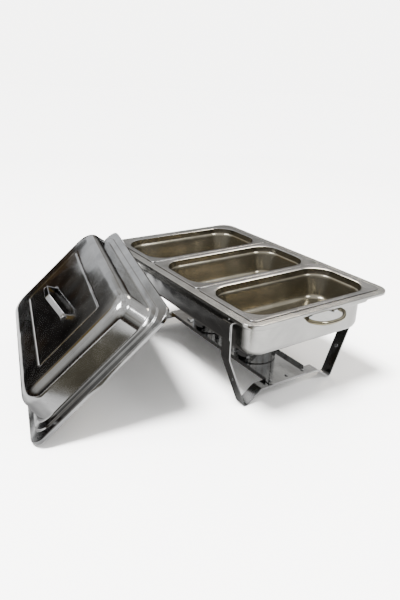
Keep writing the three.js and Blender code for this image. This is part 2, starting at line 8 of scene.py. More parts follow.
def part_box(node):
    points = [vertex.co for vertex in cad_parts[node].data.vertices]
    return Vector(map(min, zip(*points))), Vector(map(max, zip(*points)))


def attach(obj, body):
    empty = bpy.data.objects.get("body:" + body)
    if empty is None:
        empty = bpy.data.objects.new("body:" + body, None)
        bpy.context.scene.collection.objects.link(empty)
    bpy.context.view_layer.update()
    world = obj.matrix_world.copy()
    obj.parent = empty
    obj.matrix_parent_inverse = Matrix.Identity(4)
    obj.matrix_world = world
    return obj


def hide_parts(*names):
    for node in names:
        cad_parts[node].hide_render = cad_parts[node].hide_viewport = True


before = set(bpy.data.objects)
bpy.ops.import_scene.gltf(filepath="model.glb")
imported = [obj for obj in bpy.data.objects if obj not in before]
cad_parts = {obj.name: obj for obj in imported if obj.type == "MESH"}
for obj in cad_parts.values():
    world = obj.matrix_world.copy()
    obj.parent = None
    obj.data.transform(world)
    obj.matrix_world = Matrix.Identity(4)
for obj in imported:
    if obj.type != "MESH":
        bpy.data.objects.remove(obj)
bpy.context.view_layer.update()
print("frame loaded:", len(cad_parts), "nodes")

ends = {"right": 1, "left": -1}
sides = {"front": -1, "back": 1}


def middleOf(node):
    low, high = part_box(node)
    return (Vector(low) + Vector(high)) / 2


def topOf(node):
    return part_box(node)[1][2]


panMiddle = middleOf("water_pan")      # everything but the lid is built round this upright line


# ---- camera, first of all
cameraView = {
    "fromPan": (0.9311, -0.7269, 0.6231),      # where it stands, seen from the pan's middle on the floor
    "looks": (-0.76195, 0.51796, -0.38879),
    "roll": 2.06,
    "lens": 33.7,
}


def makeCamera(view):
    looks = Vector(view["looks"]).normalized()
    right = looks.cross(Vector((0, 0, 1))).normalized()
    up = right.cross(looks)
    tip = math.radians(view["roll"])
    right, up = right * math.cos(tip) + up * math.sin(tip), up * math.cos(tip) - right * math.sin(tip)
    bpy.ops.object.camera_add()
    camera = bpy.context.object
    place = Matrix((right, up, -looks)).transposed().to_4x4()
    place.translation = Vector(view["fromPan"]) + Vector((panMiddle.x, panMiddle.y, 0))
    camera.matrix_world = place
    camera.data.lens = view["lens"]
    camera.data.sensor_width = 36
    camera.data.clip_end = 60
    bpy.context.scene.camera = camera


makeCamera(cameraView)


# ---- modelling helpers
def openPiece(name):
    # a new piece, open in edit mode with nothing in it yet
    bpy.ops.object.select_all(action="DESELECT")
    bpy.ops.mesh.primitive_plane_add(size=2)
    piece = bpy.context.object
    piece.name = name
    piece.data.name = name
    bpy.ops.object.mode_set(mode="EDIT")
    bpy.ops.mesh.select_all(action="SELECT")
    bpy.ops.mesh.delete(type="VERT")
    return piece


def addRing(ring, cornerSteps):
    # a rounded rectangle of edges: half sizes, corner radius, height
    halfX, halfY, corner, height = ring
    bpy.ops.mesh.select_all(action="DESELECT")
    bpy.ops.mesh.select_mode(type="VERT")
    bpy.ops.mesh.primitive_plane_add(size=2)
    bpy.ops.transform.resize(value=(halfX, halfY, 1), center_override=(0, 0, 0))
    bpy.ops.transform.translate(value=(0, 0, height))
    bpy.ops.mesh.bevel(offset=corner, segments=cornerSteps, affect="VERTICES", profile=0.5)
    bpy.ops.mesh.delete(type="ONLY_FACE")


def pressedSheet(name, rings, cornerSteps=10):
    # a drawn sheet: each ring skinned to the next, and closed at the first and the last
    piece = openPiece(name)
    for ring in rings:
        addRing(ring, cornerSteps)
    ringSize = 4 * (cornerSteps + 1)
    mesh = bmesh.from_edit_mesh(piece.data)
    mesh.verts.ensure_lookup_table()
    mesh.verts.index_update()
    for edge in list(mesh.edges):
        first, second = (corner.index for corner in edge.verts)
        if max(first, second) + ringSize < len(mesh.verts):
            mesh.faces.new([mesh.verts[i] for i in (first, second, second + ringSize, first + ringSize)])
    bmesh.update_edit_mesh(piece.data)
    bpy.ops.mesh.select_mode(type="EDGE")
    bpy.ops.mesh.select_all(action="DESELECT")
    bpy.ops.mesh.select_non_manifold(use_wire=False, use_boundary=True, use_multi_face=False,
                                     use_non_contiguous=False, use_verts=False)
    bpy.ops.mesh.edge_face_add()
    bpy.ops.mesh.select_all(action="SELECT")
    bpy.ops.mesh.normals_make_consistent(inside=False)
    bpy.ops.object.mode_set(mode="OBJECT")
    return piece


def placeAt(piece, matrix):
    # turns and moves the piece, and leaves its place in its mesh
    bpy.ops.object.select_all(action="DESELECT")
    piece.select_set(True)
    bpy.context.view_layer.objects.active = piece
    piece.matrix_world = matrix
    bpy.ops.object.transform_apply(location=True, rotation=True, scale=True)
    return piece


def copyOf(piece, name, offset=(0, 0, 0)):
    other = piece.copy()
    other.data = piece.data.copy()
    other.name = name
    other.data.name = name
    bpy.context.collection.objects.link(other)
    return placeAt(other, Matrix.Translation(offset))


def applyModifier(piece, kind, **settings):
    bpy.ops.object.select_all(action="DESELECT")
    piece.select_set(True)
    bpy.context.view_layer.objects.active = piece
    modifier = piece.modifiers.new(kind, kind)
    for setting, value in settings.items():
        setattr(modifier, setting, value)
    bpy.ops.object.modifier_apply(modifier=modifier.name)


def softenEdges(piece, width, steps=2, angle=30):
    # a small round on each sharp edge, as tumbling and polishing leave
    applyModifier(piece, "BEVEL", width=width, segments=steps, limit_method="ANGLE",
                  angle_limit=math.radians(angle), use_clamp_overlap=True, miter_outer="MITER_ARC")


def smooth(piece, angle=35):
    bpy.ops.object.select_all(action="DESELECT")
    piece.select_set(True)
    bpy.context.view_layer.objects.active = piece
    bpy.ops.object.shade_smooth_by_angle(angle=math.radians(angle))


def levelNormals(piece):
    # broad flat faces keep their own normal, so that their reflections stay straight
    applyModifier(piece, "WEIGHTED_NORMAL", weight=60, keep_sharp=True)


merging = {"doubles": 0.00001, "flat": 0.5}      # metres apart; degrees out of level


def finishedCopy(node, name, softness, steps=2, angle=30):
    # the frame's own piece with its doubles merged, flat faces made whole and edges softened
    piece = copyOf(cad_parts[node], name)
    piece.data.materials.clear()
    bpy.ops.object.mode_set(mode="EDIT")
    bpy.ops.mesh.select_all(action="SELECT")
    bpy.ops.mesh.remove_doubles(threshold=merging["doubles"])
    bpy.ops.mesh.dissolve_limited(angle_limit=math.radians(merging["flat"]))
    bpy.ops.object.mode_set(mode="OBJECT")
    softenEdges(piece, softness, steps, angle)
    smooth(piece, angle)
    levelNormals(piece)
    return piece


def dress(piece, material, body, slot, *nodes):
    piece.data.materials.clear()
    piece.data.materials.append(material)
    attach(piece, body)
    if nodes:
        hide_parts(*nodes)


# ---- materials
def colour(hexText):
    # an sRGB hex value turned to linear
    parts = [int(hexText[i:i + 2], 16) / 255 for i in (0, 2, 4)]
    linear = [p / 12.92 if p <= 0.04045 else ((p + 0.055) / 1.055) ** 2.4 for p in parts]
    return (*linear, 1.0)


def addNode(tree, kind, inputs=None, **settings):
    node = tree.nodes.new(kind)
    for setting, value in settings.items():
        setattr(node, setting, value)
    for socket, value in (inputs or {}).items():
        if isinstance(value, bpy.types.NodeSocket):
            tree.links.new(value, node.inputs[socket])
        else:
            node.inputs[socket].default_value = value
    return node


def steelFinish(name, look):
    # Sheet steel or plating: fine grain one way, slow waves of the sheet, wiped smears and a few marks.
    material = bpy.data.materials.new(name)
    material.use_nodes = True
    tree = material.node_tree
    tree.nodes.clear()
    where = addNode(tree, "ShaderNodeTexCoord").outputs["Object"]
    grainPlace = addNode(tree, "ShaderNodeMapping", {"Vector": where, "Scale": look["grainPerMetre"]})
    grain = addNode(tree, "ShaderNodeTexNoise", {
        "Vector": grainPlace.outputs["Vector"], "Scale": 1.0, "Detail": 5.0, "Roughness": 0.65})
    smear = addNode(tree, "ShaderNodeTexNoise", {
        "Vector": where, "Scale": look["smearPerMetre"], "Detail": 4.0, "Roughness": 0.55, "Distortion": 0.6})
    waves = addNode(tree, "ShaderNodeTexNoise", {
        "Vector": where, "Scale": look["wavePerMetre"], "Detail": 1.0, "Roughness": 0.4})
    marks = addNode(tree, "ShaderNodeTexVoronoi", {
        "Vector": where, "Scale": look["markPerMetre"], "Randomness": 1.0}, feature="F1")
    spot = addNode(tree, "ShaderNodeMapRange", {
        "Value": marks.outputs["Distance"], "From Min": 0.02, "From Max": 0.12, "To Min": 1.0, "To Max": 0.0})
    tone = addNode(tree, "ShaderNodeMapRange", {
        "Value": smear.outputs["Fac"], "From Min": 0.35, "From Max": 0.65, "To Min": 0.0, "To Max": 1.0})
    base = addNode(tree, "ShaderNodeMix", {
        "Factor": tone.outputs["Result"], "A": colour(look["dark"]), "B": colour(look["light"])},
        data_type="RGBA")
    fineShade = addNode(tree, "ShaderNodeMapRange", {
        "Value": grain.outputs["Fac"], "From Min": 0.3, "From Max": 0.7,
        "To Min": 1.0 - look["grainTone"], "To Max": 1.0})
    shaded = addNode(tree, "ShaderNodeMix", {
        "Factor": 1.0, "A": base.outputs["Result"], "B": fineShade.outputs["Result"]},
        data_type="RGBA", blend_type="MULTIPLY")
    wiped = addNode(tree, "ShaderNodeMapRange", {
        "Value": smear.outputs["Fac"], "From Min": 0.3, "From Max": 0.7,
        "To Min": look["roughness"] - look["smear"], "To Max": look["roughness"] + look["smear"]})
    grained = addNode(tree, "ShaderNodeMath", {
        0: grain.outputs["Fac"], 1: look["grainRoughness"], 2: wiped.outputs["Result"]},
        operation="MULTIPLY_ADD")
    marked = addNode(tree, "ShaderNodeMath", {
        0: spot.outputs["Result"], 1: look["markRoughness"], 2: grained.outputs["Value"]},
        operation="MULTIPLY_ADD", use_clamp=True)
    slow = addNode(tree, "ShaderNodeBump", {
        "Height": waves.outputs["Fac"], "Distance": look["waveDepth"], "Strength": 1.0})
    fine = addNode(tree, "ShaderNodeBump", {
        "Height": grain.outputs["Fac"], "Distance": look["grainDepth"], "Strength": 1.0,
        "Normal": slow.outputs["Normal"]})
    metal = addNode(tree, "ShaderNodeBsdfPrincipled", {
        "Base Color": shaded.outputs["Result"], "Metallic": 1.0, "Roughness": marked.outputs["Value"],
        "Normal": fine.outputs["Normal"]})
    addNode(tree, "ShaderNodeOutputMaterial", {"Surface": metal.outputs["BSDF"]})
    return material


# Buffed stainless sheet: a mirror with a faint drag of the mop and slow waves where the press let go.
mirrorSheet = {
    "dark": "8f8f8f", "light": "ababaa", "roughness": 0.09, "smear": 0.03, "grainRoughness": 0.05,
    "grainPerMetre": (60, 900, 900), "grainTone": 0.05, "grainDepth": 0.000004,
    "smearPerMetre": 14, "wavePerMetre": 16, "waveDepth": 0.0016, "markPerMetre": 45, "markRoughness": 0.08,
}
# Satin drawn steel of the food pans, softly lit, with draw marks down the walls; its grey-brown colour is a
# painted reflection of warm surroundings.
satinPan = {
    **mirrorSheet, "dark": "847f71", "light": "918c7f", "roughness": 0.19, "smear": 0.03,
    "grainRoughness": 0.05, "grainPerMetre": (500, 500, 60), "grainTone": 0.06, "grainDepth": 0.000006,
    "smearPerMetre": 9, "markPerMetre": 60, "markRoughness": 0.03, "waveDepth": 0.0006,
}
# Satin rolled steel of the water pan: lighter, brushed along its length.
satinSheet = {
    **mirrorSheet, "dark": "a9a8a5", "light": "b7b6b2", "roughness": 0.2, "smear": 0.03,
    "grainRoughness": 0.05, "markRoughness": 0.03, "grainPerMetre": (30, 700, 700), "grainTone": 0.08,
    "grainDepth": 0.000008,
    "waveDepth": 0.0014,
}
# Bright chrome plating: very smooth, cool, with a little orange peel.
chromePlate = {
    **mirrorSheet, "dark": "a9aaac", "light": "bfc0c1", "roughness": 0.05, "smear": 0.02,
    "grainRoughness": 0.02, "grainTone": 0.02, "grainDepth": 0.000002, "waveDepth": 0.0004,
    "wavePerMetre": 40,
}
mirrorSteel = steelFinish("buffed_stainless_sheet", mirrorSheet)
lidSteel = steelFinish("buffed_lid_sheet", {
    **mirrorSheet, "grainPerMetre": (700, 40, 700), "waveDepth": 0.0022, "wavePerMetre": 11})
panSteel = steelFinish("satin_pan_steel_painted_warm_reflection", satinPan)
waterPanSteel = steelFinish("satin_rolled_steel", satinSheet)
# Buffed rims of the food pans: neutral and brighter than their drawn walls.
rimSteel = steelFinish("buffed_pan_rim", {
    **mirrorSheet, "dark": "8e8d8c", "light": "a6a5a4", "roughness": 0.16, "waveDepth": 0.0003,
    "smear": 0.01, "grainTone": 0.03, "grainRoughness": 0.03, "markRoughness": 0.02})
chrome = steelFinish("bright_chrome_plate", chromePlate)
# Handle chrome in a warm yellow-grey tone, lighter and darker in soft random patches.
handleChrome = steelFinish("warm_toned_handle_chrome", {**chromePlate, "dark": "7f7862", "light": "a39f92"})
print("materials made")


# how much the edges of the smaller pieces are rounded, in metres
edgeRounds = {
    "strap": 0.0005, "rail": 0.0006, "shelf": 0.0004, "cup": 0.0004, "bracket": 0.0004,
    "rivet": 0.0003, "pin": 0.0003, "cover": 0.0003, "peg": 0.0002, "screw": 0.0002,
}


# ---- food pans
foodPan = {
    "halfX": 0.088, "halfY": 0.1625, "depth": 0.065, "sheet": 0.001,
    "rimCorner": 0.012, "rimWidth": 0.013, "lip": 0.0017, "openingCorner": 0.044,
    "shoulderDepth": 0.013, "shoulderStep": 0.003, "draft": 0.009,
    "floorCorner": 0.034, "floorRound": 0.014, "roundSteps": 8, "rimRound": 0.0025, "edgeRound": 0.0016,
    "leastCorner": 0.006, "neckSpread": 0.0006, "wallLean": (0.0004, 0.004), "shoulderBend": (0.0012, 0.0008),
    "rimFoot": (0.0006, 0.001), "rimDrop": (0.0004, 0.0012), "cornerSteps": 12,
}


def quarter(steps, start=90, stop=0):
    return [math.radians(start + (stop - start) * i / steps) for i in range(steps + 1)]


def foodPanRings(size):
    top = topOf("food_pan_middle")
    sheet = size["sheet"]

    def ring(inset, corner, down):
        return (size["halfX"] - inset, size["halfY"] - inset, corner, top - down)

    def wall(extra):
        # from the floor up: extra is how far it lies inside the outer skin
        floor = size["depth"] - extra
        body = size["rimWidth"] + sheet + size["shoulderStep"]
        foot = body + size["draft"] + extra
        bend = size["floorRound"] - extra
        rise = []
        for a in quarter(size["roundSteps"]):
            inset = foot + bend * (1 - math.cos(a))
            corner = max(size["floorCorner"] - bend * (1 - math.cos(a)), size["leastCorner"])
            rise.append(ring(inset, corner, floor - bend * (1 - math.sin(a))))
        neck = size["rimWidth"] + extra + size["neckSpread"]
        leanIn, leanDown = size["wallLean"]
        bendIn, bendDown = size["shoulderBend"]
        return rise + [
            ring(body + extra + leanIn, size["openingCorner"] - size["shoulderStep"],
                 size["shoulderDepth"] + size["shoulderStep"] + leanDown),
            ring(body + extra, size["openingCorner"] - size["shoulderStep"],
                 size["shoulderDepth"] + size["shoulderStep"]),
            ring(neck + bendIn, size["openingCorner"], size["shoulderDepth"] + bendDown),
            ring(neck, size["openingCorner"], size["shoulderDepth"] - bendIn),
        ]

    edge = size["rimCorner"]
    bend = size["edgeRound"]
    overEdge = [ring(bend * (1 - math.cos(a)), edge - bend * (1 - math.cos(a)), bend * (1 - math.sin(a)))
                for a in quarter(4, 0, 90)]
    footIn, footDown = size["rimFoot"]
    dropIn, dropDown = size["rimDrop"]
    return wall(0) + [
        ring(size["rimWidth"] + footIn, size["openingCorner"], sheet + footDown),
        ring(sheet, edge - sheet, sheet),
        ring(sheet, edge - sheet, size["lip"]),
        ring(0, edge, size["lip"]),
    ] + overEdge + [
        ring(size["rimWidth"] - size["rimRound"], size["openingCorner"], 0),
        ring(size["rimWidth"] + dropIn, size["openingCorner"], dropDown),
    ] + wall(sheet)[::-1]


def makeFoodPans():
    first = pressedSheet("foodPanMiddle", foodPanRings(foodPan), foodPan["cornerSteps"])
    middle = middleOf("food_pan_middle")
    placeAt(first, Matrix.Translation((middle.x, middle.y, 0)))
    smooth(first, 50)
    levelNormals(first)
    rimLevel = topOf("food_pan_middle") - foodPan["lip"]
    for place in ("middle", "left", "right"):
        shift = middleOf("food_pan_" + place) - middle
        pan = first if place == "middle" else copyOf(first, "foodPan" + place.capitalize(), (shift.x, 0, 0))
        dress(pan, panSteel, "food_pan_" + place, "food_pan_steel", "food_pan_" + place)
        pan.data.materials.append(rimSteel)
        for face in pan.data.polygons:
            face.material_index = int(face.center.z > rimLevel)


makeFoodPans()
print("food pans made")


# ---- water pan
waterPan = {
    "halfX": 0.2801, "halfY": 0.179, "rimCorner": 0.030, "lip": 0.006, "sheet": 0.0012,
    "ledge": 0.022, "collarCorner": 0.030, "shoulder": 0.011, "shoulderDrop": 0.025,
    "bodyCorner": 0.035, "floorRound": 0.018, "roundSteps": 8, "edgeRound": 0.0018, "cornerSteps": 12,
    "leastCorner": 0.005, "stepRound": 0.003, "ledgeRound": (0.001, 0.0006, 0.002),
}


def waterPanRings(size):
    low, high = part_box("water_pan")
    top, bottom = high[2], low[2]
    sheet = size["sheet"]
    shoulderHeight = top - size["shoulderDrop"]

    def ring(inset, corner, height):
        return (size["halfX"] - inset, size["halfY"] - inset, corner, height)

    def wall(extra):
        body = size["ledge"] + size["shoulder"] + extra
        bend = size["floorRound"] - extra
        rise = []
        for a in quarter(size["roundSteps"]):
            inset = body + bend * (1 - math.cos(a))
            corner = max(size["bodyCorner"] - (inset - body), size["leastCorner"])
            rise.append(ring(inset, corner, bottom + extra + bend * (1 - math.sin(a))))
        collar = size["ledge"] + extra
        small = size["stepRound"]
        return rise + [
            ring(body, size["bodyCorner"], shoulderHeight + extra - small),
            ring(body - small * 0.3, size["bodyCorner"], shoulderHeight + extra - small * 0.3),
            ring(body - small, size["bodyCorner"], shoulderHeight + extra),
            ring(collar + small * 0.6, size["collarCorner"] - extra, shoulderHeight + extra),
            ring(collar + small * 0.15, size["collarCorner"] - extra, shoulderHeight + extra + small * 0.2),
            ring(collar, size["collarCorner"] - extra, shoulderHeight + extra + small * 0.7),
        ]

    edge = size["rimCorner"]
    bend = size["edgeRound"]
    overEdge = []
    for a in quarter(4, 0, 90):
        inset = bend * (1 - math.cos(a))
        overEdge.append(ring(inset, edge - inset, top - bend * (1 - math.sin(a))))
    start, turned, ended = size["ledgeRound"]
    return wall(0) + [
        ring(size["ledge"], size["collarCorner"], top - sheet),
        ring(sheet, edge - sheet, top - sheet),
        ring(sheet, edge - sheet, top - size["lip"]),
        ring(0, edge, top - size["lip"]),
    ] + overEdge + [
        ring(size["ledge"] - start, size["collarCorner"], top),
        ring(size["ledge"] + turned, size["collarCorner"] - turned, top - turned),
        ring(size["ledge"] + sheet, size["collarCorner"] - sheet, top - ended),
    ] + wall(sheet)[::-1]


def makeWaterPan():
    pan = pressedSheet("waterPan", waterPanRings(waterPan), waterPan["cornerSteps"])
    placeAt(pan, Matrix.Translation((panMiddle.x, panMiddle.y, 0)))
    smooth(pan, 50)
    levelNormals(pan)
    dress(pan, waterPanSteel, "water_pan", "water_pan_steel", "water_pan")


makeWaterPan()
print("water pan made")


# ---- lid
lid = {
    "halfX": 0.168, "halfY": 0.2575, "corner": 0.030, "lip": 0.007, "sheet": 0.0012,
    "flange": 0.015, "step": 0.003, "seat": 0.011, "domeCorner": 0.040, "domeHeight": 0.059,
    "wallDraft": 0.007, "topRound": 0.022, "roundSteps": 10,
    "tilt": 43.3, "turn": 15.0, "along": -0.088, "outward": 0.3345,
    "lineX": 0.078, "lineY": 0.165, "lineCorner": 0.010, "lineWidth": 0.0035, "lineDepth": 0.0007,
    "lineEase": (0.004, 0.0008), "wallFillet": 0.004, "topMargin": 0.003, "topCorner": 0.022,
    "leastCorner": 0.012,
    "cornerTaper": 0.6, "seatCorner": 0.034, "edgeRound": (0.0018, 0.0005), "cornerSteps": 12,
    "stepFoot": (0.001, 0.0006), "stepTop": (0.0008, 0.0005, 0.002),
}


def lidPlace(size):
    # the lid's own X runs up the slope, its Y away from the right end, its Z out of the dome
    turn, tilt = math.radians(size["turn"]), math.radians(size["tilt"])
    away = Vector((-math.cos(turn), math.sin(turn), 0))
    upSlope = Vector((math.sin(turn) * math.cos(tilt), math.cos(turn) * math.cos(tilt), math.sin(tilt)))
    outward = upSlope.cross(away)
    place = Matrix((upSlope, away, outward)).transposed().to_4x4()
    height = size["halfX"] * upSlope.z + size["lip"] * outward.z
    place.translation = Vector((panMiddle.x + size["along"], panMiddle.y - size["outward"], height))
    return place


def lidRings(size):
    sheet, step, flange, lip, corner = (size[k] for k in ("sheet", "step", "flange", "lip", "corner"))

    def ring(inset, radius, height):
        return (size["halfX"] - inset, size["halfY"] - inset, radius, height)

    def dome(extra):
        bend = size["topRound"] - extra
        foot = flange + size["seat"]
        wall = foot + size["wallDraft"] + extra
        arc = []
        for a in quarter(size["roundSteps"], 0, 90):
            inset = wall + bend * (1 - math.cos(a))
            radius = max(size["domeCorner"] - (inset - wall) * size["cornerTaper"], size["leastCorner"])
            arc.append(ring(inset, radius,
                            size["domeHeight"] - size["topRound"] + bend * math.sin(a)))
        small = size["wallFillet"]      # where the wall rises from the seat
        return [
            ring(foot + extra - small * 0.5, size["domeCorner"], step - extra),
            ring(foot + extra + small * 0.2, size["domeCorner"], step - extra + small * 0.3),
            ring(foot + extra + small * 0.45, size["domeCorner"], step - extra + small),
        ] + arc

    def line(inset, height):
        return (size["lineX"] - inset, size["lineY"] - inset, size["lineCorner"] - inset, height)

    top, width, depth = size["domeHeight"], size["lineWidth"], size["lineDepth"]
    topInset = flange + size["seat"] + size["wallDraft"] + size["topRound"] + size["topMargin"]
    ease, shoulder = size["lineEase"]
    edge, chamfer = size["edgeRound"]
    footIn, footUp = size["stepFoot"]
    topIn, topDown, topEnd = size["stepTop"]
    seatCorner = size["seatCorner"]
    return dome(sheet)[::-1] + [
        ring(flange + sheet, seatCorner, step - sheet),
        ring(flange + sheet, seatCorner, -sheet),
        ring(sheet, corner - sheet, -sheet),
        ring(sheet, corner - sheet, -lip),
        ring(0, corner, -lip),
        ring(0, corner, -edge),
        ring(chamfer, corner - chamfer, -chamfer),
        ring(edge, corner - edge, 0),
        ring(flange - footIn, seatCorner, 0),
        ring(flange, seatCorner, footUp),
        ring(flange + topIn, seatCorner, step - topDown),
        ring(flange + topEnd, seatCorner, step),
    ] + dome(0) + [
        ring(topInset, size["topCorner"], top),
        line(-ease, top),
        line(-shoulder, top),
        line(0, top - depth * 0.3),
        line(width * 0.35, top - depth),
        line(width * 0.65, top - depth),
        line(width, top - depth * 0.3),
        line(width + shoulder, top),
        line(width + ease, top),
    ]


def makeLid():
    shell = pressedSheet("lidShell", lidRings(lid), lid["cornerSteps"])
    placeAt(shell, lidPlace(lid))
    smooth(shell, 50)
    levelNormals(shell)
    dress(shell, lidSteel, "lid", "lid_steel", "lid_shell")
    handle = finishedCopy("lid_handle", "lidHandle", edgeRounds["strap"])
    dress(handle, chrome, "lid", "lid_steel", "lid_handle")
    for place in ("far", "near"):
        node = "lid_rivet_" + place
        rivet = finishedCopy(node, "lidRivet" + place.capitalize(), edgeRounds["rivet"])
        dress(rivet, chrome, "lid", "fastener_chrome", node)


makeLid()
print("lid made")


# ---- stand
def makeStand():
    for end in ends:
        loop = finishedCopy("end_loop_" + end, "endLoop" + end.capitalize(), edgeRounds["strap"])
        dress(loop, mirrorSteel, "stand", "stand_steel", "end_loop_" + end)
        for side in sides:
            tag = end + "_" + side
            words = end.capitalize() + side.capitalize()
            peg = finishedCopy("guide_peg_" + tag, "guidePeg" + words, edgeRounds["peg"])
            dress(peg, chrome, "stand", "fastener_chrome", "guide_peg_" + tag)
            rivet = finishedCopy("leg_rivet_" + tag, "legRivet" + words, edgeRounds["rivet"])
            dress(rivet, chrome, "stand", "fastener_chrome", "leg_rivet_" + tag)
        for row in ("front", "middle", "back"):
            for part in ("screw", "nut"):
                node = "shelf_" + part + "_" + end + "_" + row
                words = "shelf" + part.capitalize() + end.capitalize() + row.capitalize()
                fastener = finishedCopy(node, words, edgeRounds["screw"])
                dress(fastener, chrome, "stand", "fastener_chrome", node)
    for side in sides:
        rail = finishedCopy("side_rail_" + side, "sideRail" + side.capitalize(), edgeRounds["rail"])
        dress(rail, mirrorSteel, "stand", "stand_steel", "side_rail_" + side)
    shelf = finishedCopy("burner_shelf", "burnerShelf", edgeRounds["shelf"])
    dress(shelf, mirrorSteel, "stand", "stand_steel", "burner_shelf")


makeStand()
print("stand made")


# ---- burners
def makeBurners():
    for end in ends:
        words = end.capitalize()
        body = "burner_" + end
        for part in ("cup", "tab"):
            node = "burner_" + part + "_" + end
            piece = finishedCopy(node, "burner" + part.capitalize() + words, edgeRounds["cup"])
            dress(piece, chrome, body, "burner_chrome", node)
        node = "cover_pin_" + end
        pin = finishedCopy(node, "coverPin" + words, edgeRounds["pin"])
        dress(pin, chrome, body, "fastener_chrome", node)
        node = "burner_cover_" + end
        cover = finishedCopy(node, "burnerCover" + words, edgeRounds["cover"])
        dress(cover, waterPanSteel, node, "cover_steel", node)


makeBurners()
print("burners made")


# ---- pan handles
panHandle = {
    "span": 0.080, "rod": 0.008, "reach": 0.035, "bow": 0.005, "bend": 0.0055, "droop": 9, "stub": 0.009,
    "pivotX": 0.2656, "pivotDrop": 0.016,
}


def bowLine(size):
    # the middle of the rod, from one hinge stub to the other
    half, reach, bend = size["span"] / 2, size["reach"], size["bend"]
    turn = half - size["stub"] / 3
    side = [
        (0, half - size["stub"]), (0, half - size["stub"] * 0.6), (0, turn), (bend * 0.1, turn + bend * 0.9),
        (bend, turn + bend), (reach * 0.42, half + size["bow"]), (reach * 0.7, half * 0.93),
        (reach * 0.92, half * 0.62), (reach, half * 0.25),
    ]
    return [(x, -y) for x, y in side] + side[::-1]


def makeBow(name, size, side):
    bpy.ops.object.select_all(action="DESELECT")
    bpy.ops.curve.primitive_nurbs_path_add()
    rod = bpy.context.object
    rod.name = name
    line = bowLine(size)
    spline = rod.data.splines[0]
    spline.points.add(len(line) - len(spline.points))
    for point, (x, y) in zip(spline.points, line):
        point.co = (x, y, 0, 1)
    spline.order_u = 3
    spline.use_endpoint_u = True
    rod.data.resolution_u = 10
    rod.data.bevel_depth = size["rod"] / 2
    rod.data.bevel_resolution = 5
    rod.data.use_fill_caps = True
    bpy.ops.object.convert(target="MESH")
    rod = bpy.context.object
    rod.data.name = name
    turn = Matrix.Rotation(0 if side > 0 else math.pi, 4, "Z")
    droop = Matrix.Rotation(math.radians(size["droop"]), 4, "Y")
    height = topOf("food_pan_middle") - size["pivotDrop"]
    pivot = Matrix.Translation((panMiddle.x + side * size["pivotX"], panMiddle.y, height))
    placeAt(rod, pivot @ turn @ droop)
    smooth(rod, 50)
    return rod


def makePanHandles():
    for end, side in ends.items():
        node = "pan_handle_" + end
        bow = makeBow("panHandle" + end.capitalize(), panHandle, side)
        dress(bow, handleChrome, node, "handle_chrome", node)
        for place in sides:
            lug = "handle_bracket_" + end + "_" + place
            words = "handleBracket" + end.capitalize() + place.capitalize()
            bracket = finishedCopy(lug, words, edgeRounds["bracket"])
            dress(bracket, chrome, "water_pan", "handle_chrome", lug)


makePanHandles()
print("pan handles made")


# ---- floor, light and the cards that the steel reflects
studio = {
    "floorSize": 30.0, "floor": "f6f5f3", "world": "ffffff", "worldStrength": 1.5,
    "backdropRadius": 14.0, "backdropGlow": 6.5,
    # the mirror floor's painted shadow: its middle, reach and soft edge, its dark and bright tints, and the
    # noise that breaks up its edge
    "mirrorFloor": 2.4, "shade": (-0.06, -0.04), "shadeReach": 0.36, "shadeEdge": 0.34,
    "shadeTint": "353433", "brightTint": "f0f0f0", "mirrorGlow": 2.8, "shadeBreakupPerMetre": 4.0, "shadeBreakupReach": 0.3,
    "floorLevel": -0.0005, "mirrorLevel": -0.001,      # both just under the feet, the steel's one lower
}


def makeStudio(look):
    bpy.ops.object.select_all(action="DESELECT")
    bpy.ops.mesh.primitive_plane_add(size=look["floorSize"], location=(0, 0, look["floorLevel"]))
    floor = bpy.context.object
    floor.name = "studioFloor"
    paint = bpy.data.materials.new("pale_floor")
    paint.use_nodes = True
    shader = paint.node_tree.nodes["Principled BSDF"]
    shader.inputs["Base Color"].default_value = colour(look["floor"])
    shader.inputs["Roughness"].default_value = 0.6
    floor.data.materials.append(paint)
    floor.visible_glossy = False
    world = bpy.data.worlds.new("studioWorld")
    bpy.context.scene.world = world
    world.use_nodes = True
    sky = world.node_tree.nodes["Background"]
    sky.inputs["Color"].default_value = colour(look["world"])
    sky.inputs["Strength"].default_value = look["worldStrength"]


def makeBackdrop(look):
    # a pale wall behind everything, which gives no light of its own
    bpy.ops.object.select_all(action="DESELECT")
    bpy.ops.mesh.primitive_uv_sphere_add(segments=48, ring_count=24, radius=look["backdropRadius"])
    wall = bpy.context.object
    wall.name = "studioBackdrop"
    paint = bpy.data.materials.new("pale_backdrop")
    paint.use_nodes = True
    tree = paint.node_tree
    tree.nodes.clear()
    glow = addNode(tree, "ShaderNodeEmission", {
        "Color": colour(look["floor"]), "Strength": look["backdropGlow"]})
    addNode(tree, "ShaderNodeOutputMaterial", {"Surface": glow.outputs["Emission"]})
    wall.data.materials.append(paint)
    wall.visible_diffuse = False
    wall.visible_glossy = False
    wall.visible_shadow = False


